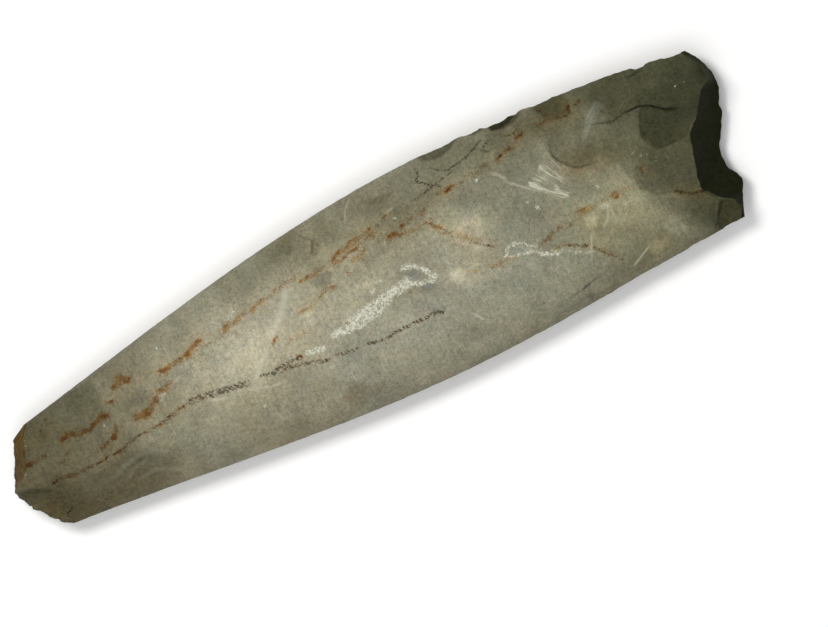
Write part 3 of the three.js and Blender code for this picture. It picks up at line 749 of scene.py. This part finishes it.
def stone_mesh():
    upper, under = face_grid(True), face_grid(False)
    faces, own = stone_faces()
    mesh = bpy.data.meshes.new("axe_head_surface")
    points = [np.concatenate([u.ravel(), b[own]]) for u, b in zip(upper[:3], under[:3])]
    mesh.from_pydata((np.stack(points, -1) * MM).tolist(), [], faces)
    upper_paint, under_paint = (
        paint(layers[0], layers[1], layers[3], layers[4])
        for paint, layers in ((paint_upper, upper), (paint_under, under))
    )
    tint = np.concatenate([upper_paint.pop("tint").reshape(-1, 3), under_paint["tint"][own]])
    tint = np.append(tint, np.ones((len(tint), 1)), axis=1)
    mesh.attributes.new("tint", "FLOAT_COLOR", "POINT").data.foreach_set("color", tint.ravel())
    for name, values in upper_paint.items():
        below = under_paint.get(name, np.zeros(own.shape))
        joined = np.append(values, below[own])
        mesh.attributes.new(name, "FLOAT", "POINT").data.foreach_set("value", joined)
    mesh.shade_smooth()
    mesh.set_sharp_from_angle(angle=math.radians(32))
    return mesh


# MATERIAL

class Nodes:
    """A short way to write a material's node tree. A value is a number, a colour or a socket."""

    def __init__(self, name):
        self.material = bpy.data.materials.new(name)
        self.material.use_nodes = True
        self.tree = self.material.node_tree
        self.tree.nodes.clear()

    def node(self, kind, settings=None, **inputs):
        node = self.tree.nodes.new(kind)
        for key, value in (settings or {}).items():
            setattr(node, key, value)
        for key, value in inputs.items():
            self.feed(node.inputs[key.replace("_", " ")], value)
        return node

    def value(self, kind, settings=None, **inputs):
        return self.node(kind, settings, **inputs).outputs[0]

    def feed(self, socket, value):
        if isinstance(value, bpy.types.NodeSocket):
            self.tree.links.new(value, socket)
        else:
            socket.default_value = value

    def math(self, operation, *values, clamp=False):
        node = self.node("ShaderNodeMath", {"operation": operation, "use_clamp": clamp})
        for socket, value in zip(node.inputs, values):
            self.feed(socket, value)
        return node.outputs[0]

    def add(self, a, b):
        return self.math("ADD", a, b)

    def times(self, a, b):
        return self.math("MULTIPLY", a, b)

    def scaled(self, value, factor, offset, clamp=False):
        return self.math("MULTIPLY_ADD", value, factor, offset, clamp=clamp)

    def centred(self, noise, amount):
        """A noise of 0 to 1 turned into one about zero."""
        return self.scaled(noise, amount, -amount / 2)

    def ramp(self, value, low, high):
        return self.value("ShaderNodeMapRange", {"interpolation_type": "SMOOTHSTEP"},
                          Value=value, From_Min=low, From_Max=high)

    def mix(self, share, a, b, blend="MIX"):
        node = self.node("ShaderNodeMix", {"data_type": "RGBA", "blend_type": blend})
        for socket, value in zip((node.inputs[0], node.inputs[6], node.inputs[7]), (share, a, b)):
            self.feed(socket, value)
        return node.outputs[2]

    def field(self, name, output="Fac"):
        return self.node("ShaderNodeAttribute", {"attribute_name": name}).outputs[output]

    def noise(self, place, scale, detail, roughness=0.5):
        return self.value("ShaderNodeTexNoise", Vector=place, Scale=scale, Detail=detail,
                          Roughness=roughness)

    def stretched(self, place, scales, turn=0.0):
        return self.value("ShaderNodeMapping", Vector=place, Scale=scales,
                          Rotation=(0, 0, math.radians(turn)))

    def vector(self, operation, a, b):
        node = self.node("ShaderNodeVectorMath", {"operation": operation})
        self.feed(node.inputs[0], a)
        self.feed(node.inputs[1], b)
        return node.outputs[0]

    def around(self, place, middle, turns, reach):
        """The direction and the distance from a point, for a noise that runs out from it."""
        parts = self.node("ShaderNodeSeparateXYZ", Vector=place).outputs
        away = [self.math("SUBTRACT", value, start) for value, start in zip(parts, middle)]
        direction = self.times(self.math("ARCTAN2", away[1], away[0]), turns)
        return self.value("ShaderNodeCombineXYZ", X=direction, Y=self.times(away[0], reach))

    def shade(self, **inputs):
        """Ends the tree with a shader, which it returns."""
        shader = self.node("ShaderNodeBsdfPrincipled", **inputs)
        self.node("ShaderNodeOutputMaterial", Surface=shader.outputs[0])
        return shader


def colour(srgb):
    return (*(linear(srgb) / EXPOSURE), 1)


def stone_material():
    nodes = Nodes("jadeite")
    add, times, scaled, centred = nodes.add, nodes.times, nodes.scaled, nodes.centred
    ramp, mix, field = nodes.ramp, nodes.mix, nodes.field
    place = nodes.stretched(nodes.node("ShaderNodeTexCoord").outputs["Object"], (1 / MM,) * 3)

    def noise(offset, *settings):
        """A noise over the stone that differs from those at the other offsets."""
        return nodes.noise(nodes.vector("ADD", place, (offset,) * 3), *settings)

    def mark(name, ragged, spread, low, high):
        """How much of a broad mark shows, with ragged borders and gaps."""
        worn = add(field(name), centred(ragged, spread))
        return times(ramp(worn, low, high), ramp(field(name), 0.02, 0.15))

    def line(name, ragged, spread, low, high):
        """How much of a thin mark shows."""
        worn = add(field(name), centred(ragged, spread))
        return times(ramp(worn, low, high), field(name + "_strength"))

    grain, speckle = noise(0, 1.9, 3, 0.75), noise(0, 0.75, 4, 0.7)
    breakup, fine, flecks = noise(0, 1, 4, 0.75), noise(20, 1.7, 3, 0.75), noise(25, 1.4, 4, 0.8)
    strokes = nodes.noise(nodes.stretched(place, (1.9, 0.2, 0.3), 5), 1, 3, 0.7)
    second = nodes.noise(nodes.stretched(place, (1.2, 0.1, 0.2), 9), 1, 3, 0.6)
    rough = field("rough")
    polished = nodes.math("SUBTRACT", 1, rough)

    # The stone's own colour, with grain, polishing streaks and freckles.
    blotches = times(centred(noise(40, 0.55, 5, 0.75), 1.7), rough)
    streaks = times(add(centred(strokes, 0.42), centred(second, 0.3)), polished)
    shade = add(add(add(centred(grain, 1.2), centred(speckle, 1.15)), blotches), streaks)
    reddish = scaled(noise(60, 0.5, 4, 0.7), 0.3, 0.85)
    bluish = scaled(noise(90, 0.6, 4, 0.8), 0.48, 0.76)
    hue = nodes.value("ShaderNodeCombineXYZ", X=reddish, Y=1.0, Z=bluish)
    tint = nodes.vector("MULTIPLY", field("tint", "Color"), hue)
    brightness = add(shade, 1.0)
    base = nodes.value("ShaderNodeVectorMath", {"operation": "SCALE"}, Vector=tint, Scale=brightness)
    freckles = ramp(noise(0, 0.62, 5, 0.7), 0.6, 0.72)
    base = mix(times(freckles, times(polished, 0.18)), base, colour(0xaaa284))
    dark_freckles = ramp(noise(30, 0.8, 4, 0.7), 0.6, 0.72)
    base = mix(times(dark_freckles, 0.45), base, (0.3, 0.3, 0.26, 1), "MULTIPLY")

    # Scratches, the fan of fine ones and the white crystals.
    scratch = line("scratch", fine, 0.5, 0.4, 0.95)
    base = mix(times(scratch, 0.8), base, colour(0xd0ceb8))
    rays = nodes.noise(nodes.around(place, FAN_POINT, 28, 0.3), 1, 2, 0.6)
    fan = ramp(add(field("fan"), centred(rays, 3.4)), 0.5, 1.2)
    fan = times(fan, ramp(field("fan"), 0.05, 0.6))
    base = mix(times(fan, 0.75), base, colour(0xceceb8))
    grains = ramp(noise(10, 1.3, 4, 0.85), 0.36, 0.6)
    white = mark("white", flecks, 3.0, 0.34, 0.84)
    base = mix(times(white, 0.86), base, mix(grains, colour(0x848471), colour(0xe8e8d4)))

    # Rust stains the stone, and its dark parts cover it.
    rust = mark("rust", flecks, 2.8, 0.15, 0.8)
    rust_tone = scaled(field("rust"), -0.22, add(noise(50, 0.6, 4, 0.7), 0.16))
    stain = mix(ramp(rust_tone, 0.36, 0.64), (0.48, 0.2, 0.055, 1), (0.9, 0.57, 0.25, 1))
    base = mix(times(rust, 0.92), base, stain, "MULTIPLY")
    dark_rust = mark("dark_rust", breakup, 2.4, 0.4, 1.0)
    base = mix(times(dark_rust, 0.85), base, colour(0x362010))

    # Seams are rows of slanted ticks with pale gaps.
    wave = nodes.math("SINE", scaled(noise(80, 0.4, 2), 16, field("seam_phase")))
    ticks = ramp(scaled(wave, 0.55, centred(breakup, 8)), -0.85, 0.55)
    seam = times(ramp(add(field("seam"), centred(breakup, 1.8)), 0.1, 0.8), ticks)
    seam = times(seam, ramp(field("seam"), 0.02, 0.15))
    gaps = times(nodes.math("SUBTRACT", 1, ticks), ramp(field("seam"), 0.3, 0.8))
    base = mix(times(gaps, 0.25), base, colour(0xbab49e))
    seam_tone = ramp(noise(0, 0.17, 3), 0.42, 0.58)
    base = mix(times(seam, 0.88), base, mix(seam_tone, colour(0x403622), colour(0x54381e)))

    # Cracks, some of them rows of dots, and the rusty skin of the butt.
    dots = ramp(noise(70, 1.5, 1), 0.42, 0.56)
    dotted = times(line("dotted", fine, 0.4, 0.5, 0.85), dots)
    crack = nodes.math("MAXIMUM", line("crack", fine, 0.5, 0.5, 0.85), dotted)
    base = mix(times(crack, 0.9), base, colour(0x18160d))
    skin_tone = ramp(nodes.noise(place, 0.35, 6, 0.85), 0.36, 0.64)
    base = mix(field("rust_skin"), base, mix(skin_tone, colour(0x423110), colour(0x685226)))

    roughness = add(scaled(rough, 0.22, 0.5), centred(speckle, 0.16))
    roughness = scaled(nodes.math("MAXIMUM", rust, crack), 0.2, roughness, clamp=True)

    # Relief in millimetres: grain, hackle on the fractures, polishing grooves and the marks.
    relief = add(times(grain, 0.03), times(noise(0, 0.9, 5, 0.7), times(rough, 0.28)))
    relief = add(relief, times(add(times(strokes, 0.035), times(second, 0.03)), polished))
    for depth, share in ((-0.12, crack), (-0.07, seam), (-0.05, rust), (0.02, scratch)):
        relief = scaled(share, depth, relief)
    bump = nodes.value("ShaderNodeBump", Height=relief, Distance=MM, Strength=1.0)
    shader = nodes.shade(Base_Color=base, Roughness=roughness, Normal=bump)
    shader.inputs["Specular IOR Level"].default_value = 0.04
    return nodes.material


# SCENE

FRAME_WIDTH = 264.8  # millimetres of the side edges' level that the picture spans
VIEW_TURN = 26.5  # degrees that the axe is turned in the picture
VIEW_OFFSET = (13.6, -4.67)  # of the picture's middle from the axe's, to the right and up
CAMERA_HEIGHT = 3000
SENSOR_WIDTH = 36
FLOOR_REACH = 3  # metres


def new_object(name, data):
    thing = bpy.data.objects.new(name, data)
    bpy.context.scene.collection.objects.link(thing)
    return thing


def view_axes():
    turn = math.radians(-VIEW_TURN)
    return np.array((math.cos(turn), math.sin(turn))), np.array((-math.sin(turn), math.cos(turn)))


def make_axe_head():
    axe_head = new_object("axe_head_stone", stone_mesh())
    axe_head.data.materials.append(stone_material())
    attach(axe_head, "root")
    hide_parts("axe_head")


def make_floor():
    mesh = bpy.data.meshes.new("floor")
    corners = [(x * FLOOR_REACH, y * FLOOR_REACH, 0) for x, y in ((-1, -1), (1, -1), (1, 1), (-1, 1))]
    mesh.from_pydata(corners, [], [(0, 1, 2, 3)])
    floor = new_object("floor", mesh)
    nodes = Nodes("pale_floor")
    nodes.shade(Base_Color=(0.93, 0.93, 0.93, 1), Roughness=0.9)
    mesh.materials.append(nodes.material)


def make_camera():
    right, up = view_axes()
    middle = right * VIEW_OFFSET[0] + up * VIEW_OFFSET[1]
    data = bpy.data.cameras.new("camera")
    data.sensor_width = SENSOR_WIDTH
    data.lens = SENSOR_WIDTH * (CAMERA_HEIGHT - EDGE_HEIGHT) / FRAME_WIDTH
    camera = new_object("camera", data)
    camera.location = (middle[0] * MM, middle[1] * MM, CAMERA_HEIGHT * MM)
    camera.rotation_euler = (0, 0, math.radians(-VIEW_TURN))
    bpy.context.scene.camera = camera


def area_light(name, seen_from, distance, size, watts, tone):
    """A soft light towards (right, up, height) as the picture shows them, aimed at the axe."""
    right, up = view_axes()
    toward = np.append(right * seen_from[0] + up * seen_from[1], seen_from[2])
    toward /= np.linalg.norm(toward)
    data = bpy.data.lights.new(name, "AREA")
    data.shape, data.size = "DISK", size
    data.energy, data.color = watts, tone
    light = new_object(name, data)
    light.location = toward * distance
    light.rotation_euler = (0, math.acos(toward[2]), math.atan2(toward[1], toward[0]))


def make_lights():
    area_light("key", (-0.4, 0.25, 1.0), 1.3, 0.45, 9.8, (1.0, 0.99, 0.96))
    area_light("fill", (-0.05, -0.35, 1.0), 1.8, 1.6, 13, (0.98, 0.98, 1.0))
    world = bpy.data.worlds.new("studio")
    world.use_nodes = True
    background = world.node_tree.nodes["Background"]
    background.inputs["Color"].default_value = (1, 1, 1, 1)
    background.inputs["Strength"].default_value = 0.36
    bpy.context.scene.world = world
    bpy.context.scene.view_settings.view_transform = "Standard"


make_axe_head()
make_floor()
make_camera()
make_lights()
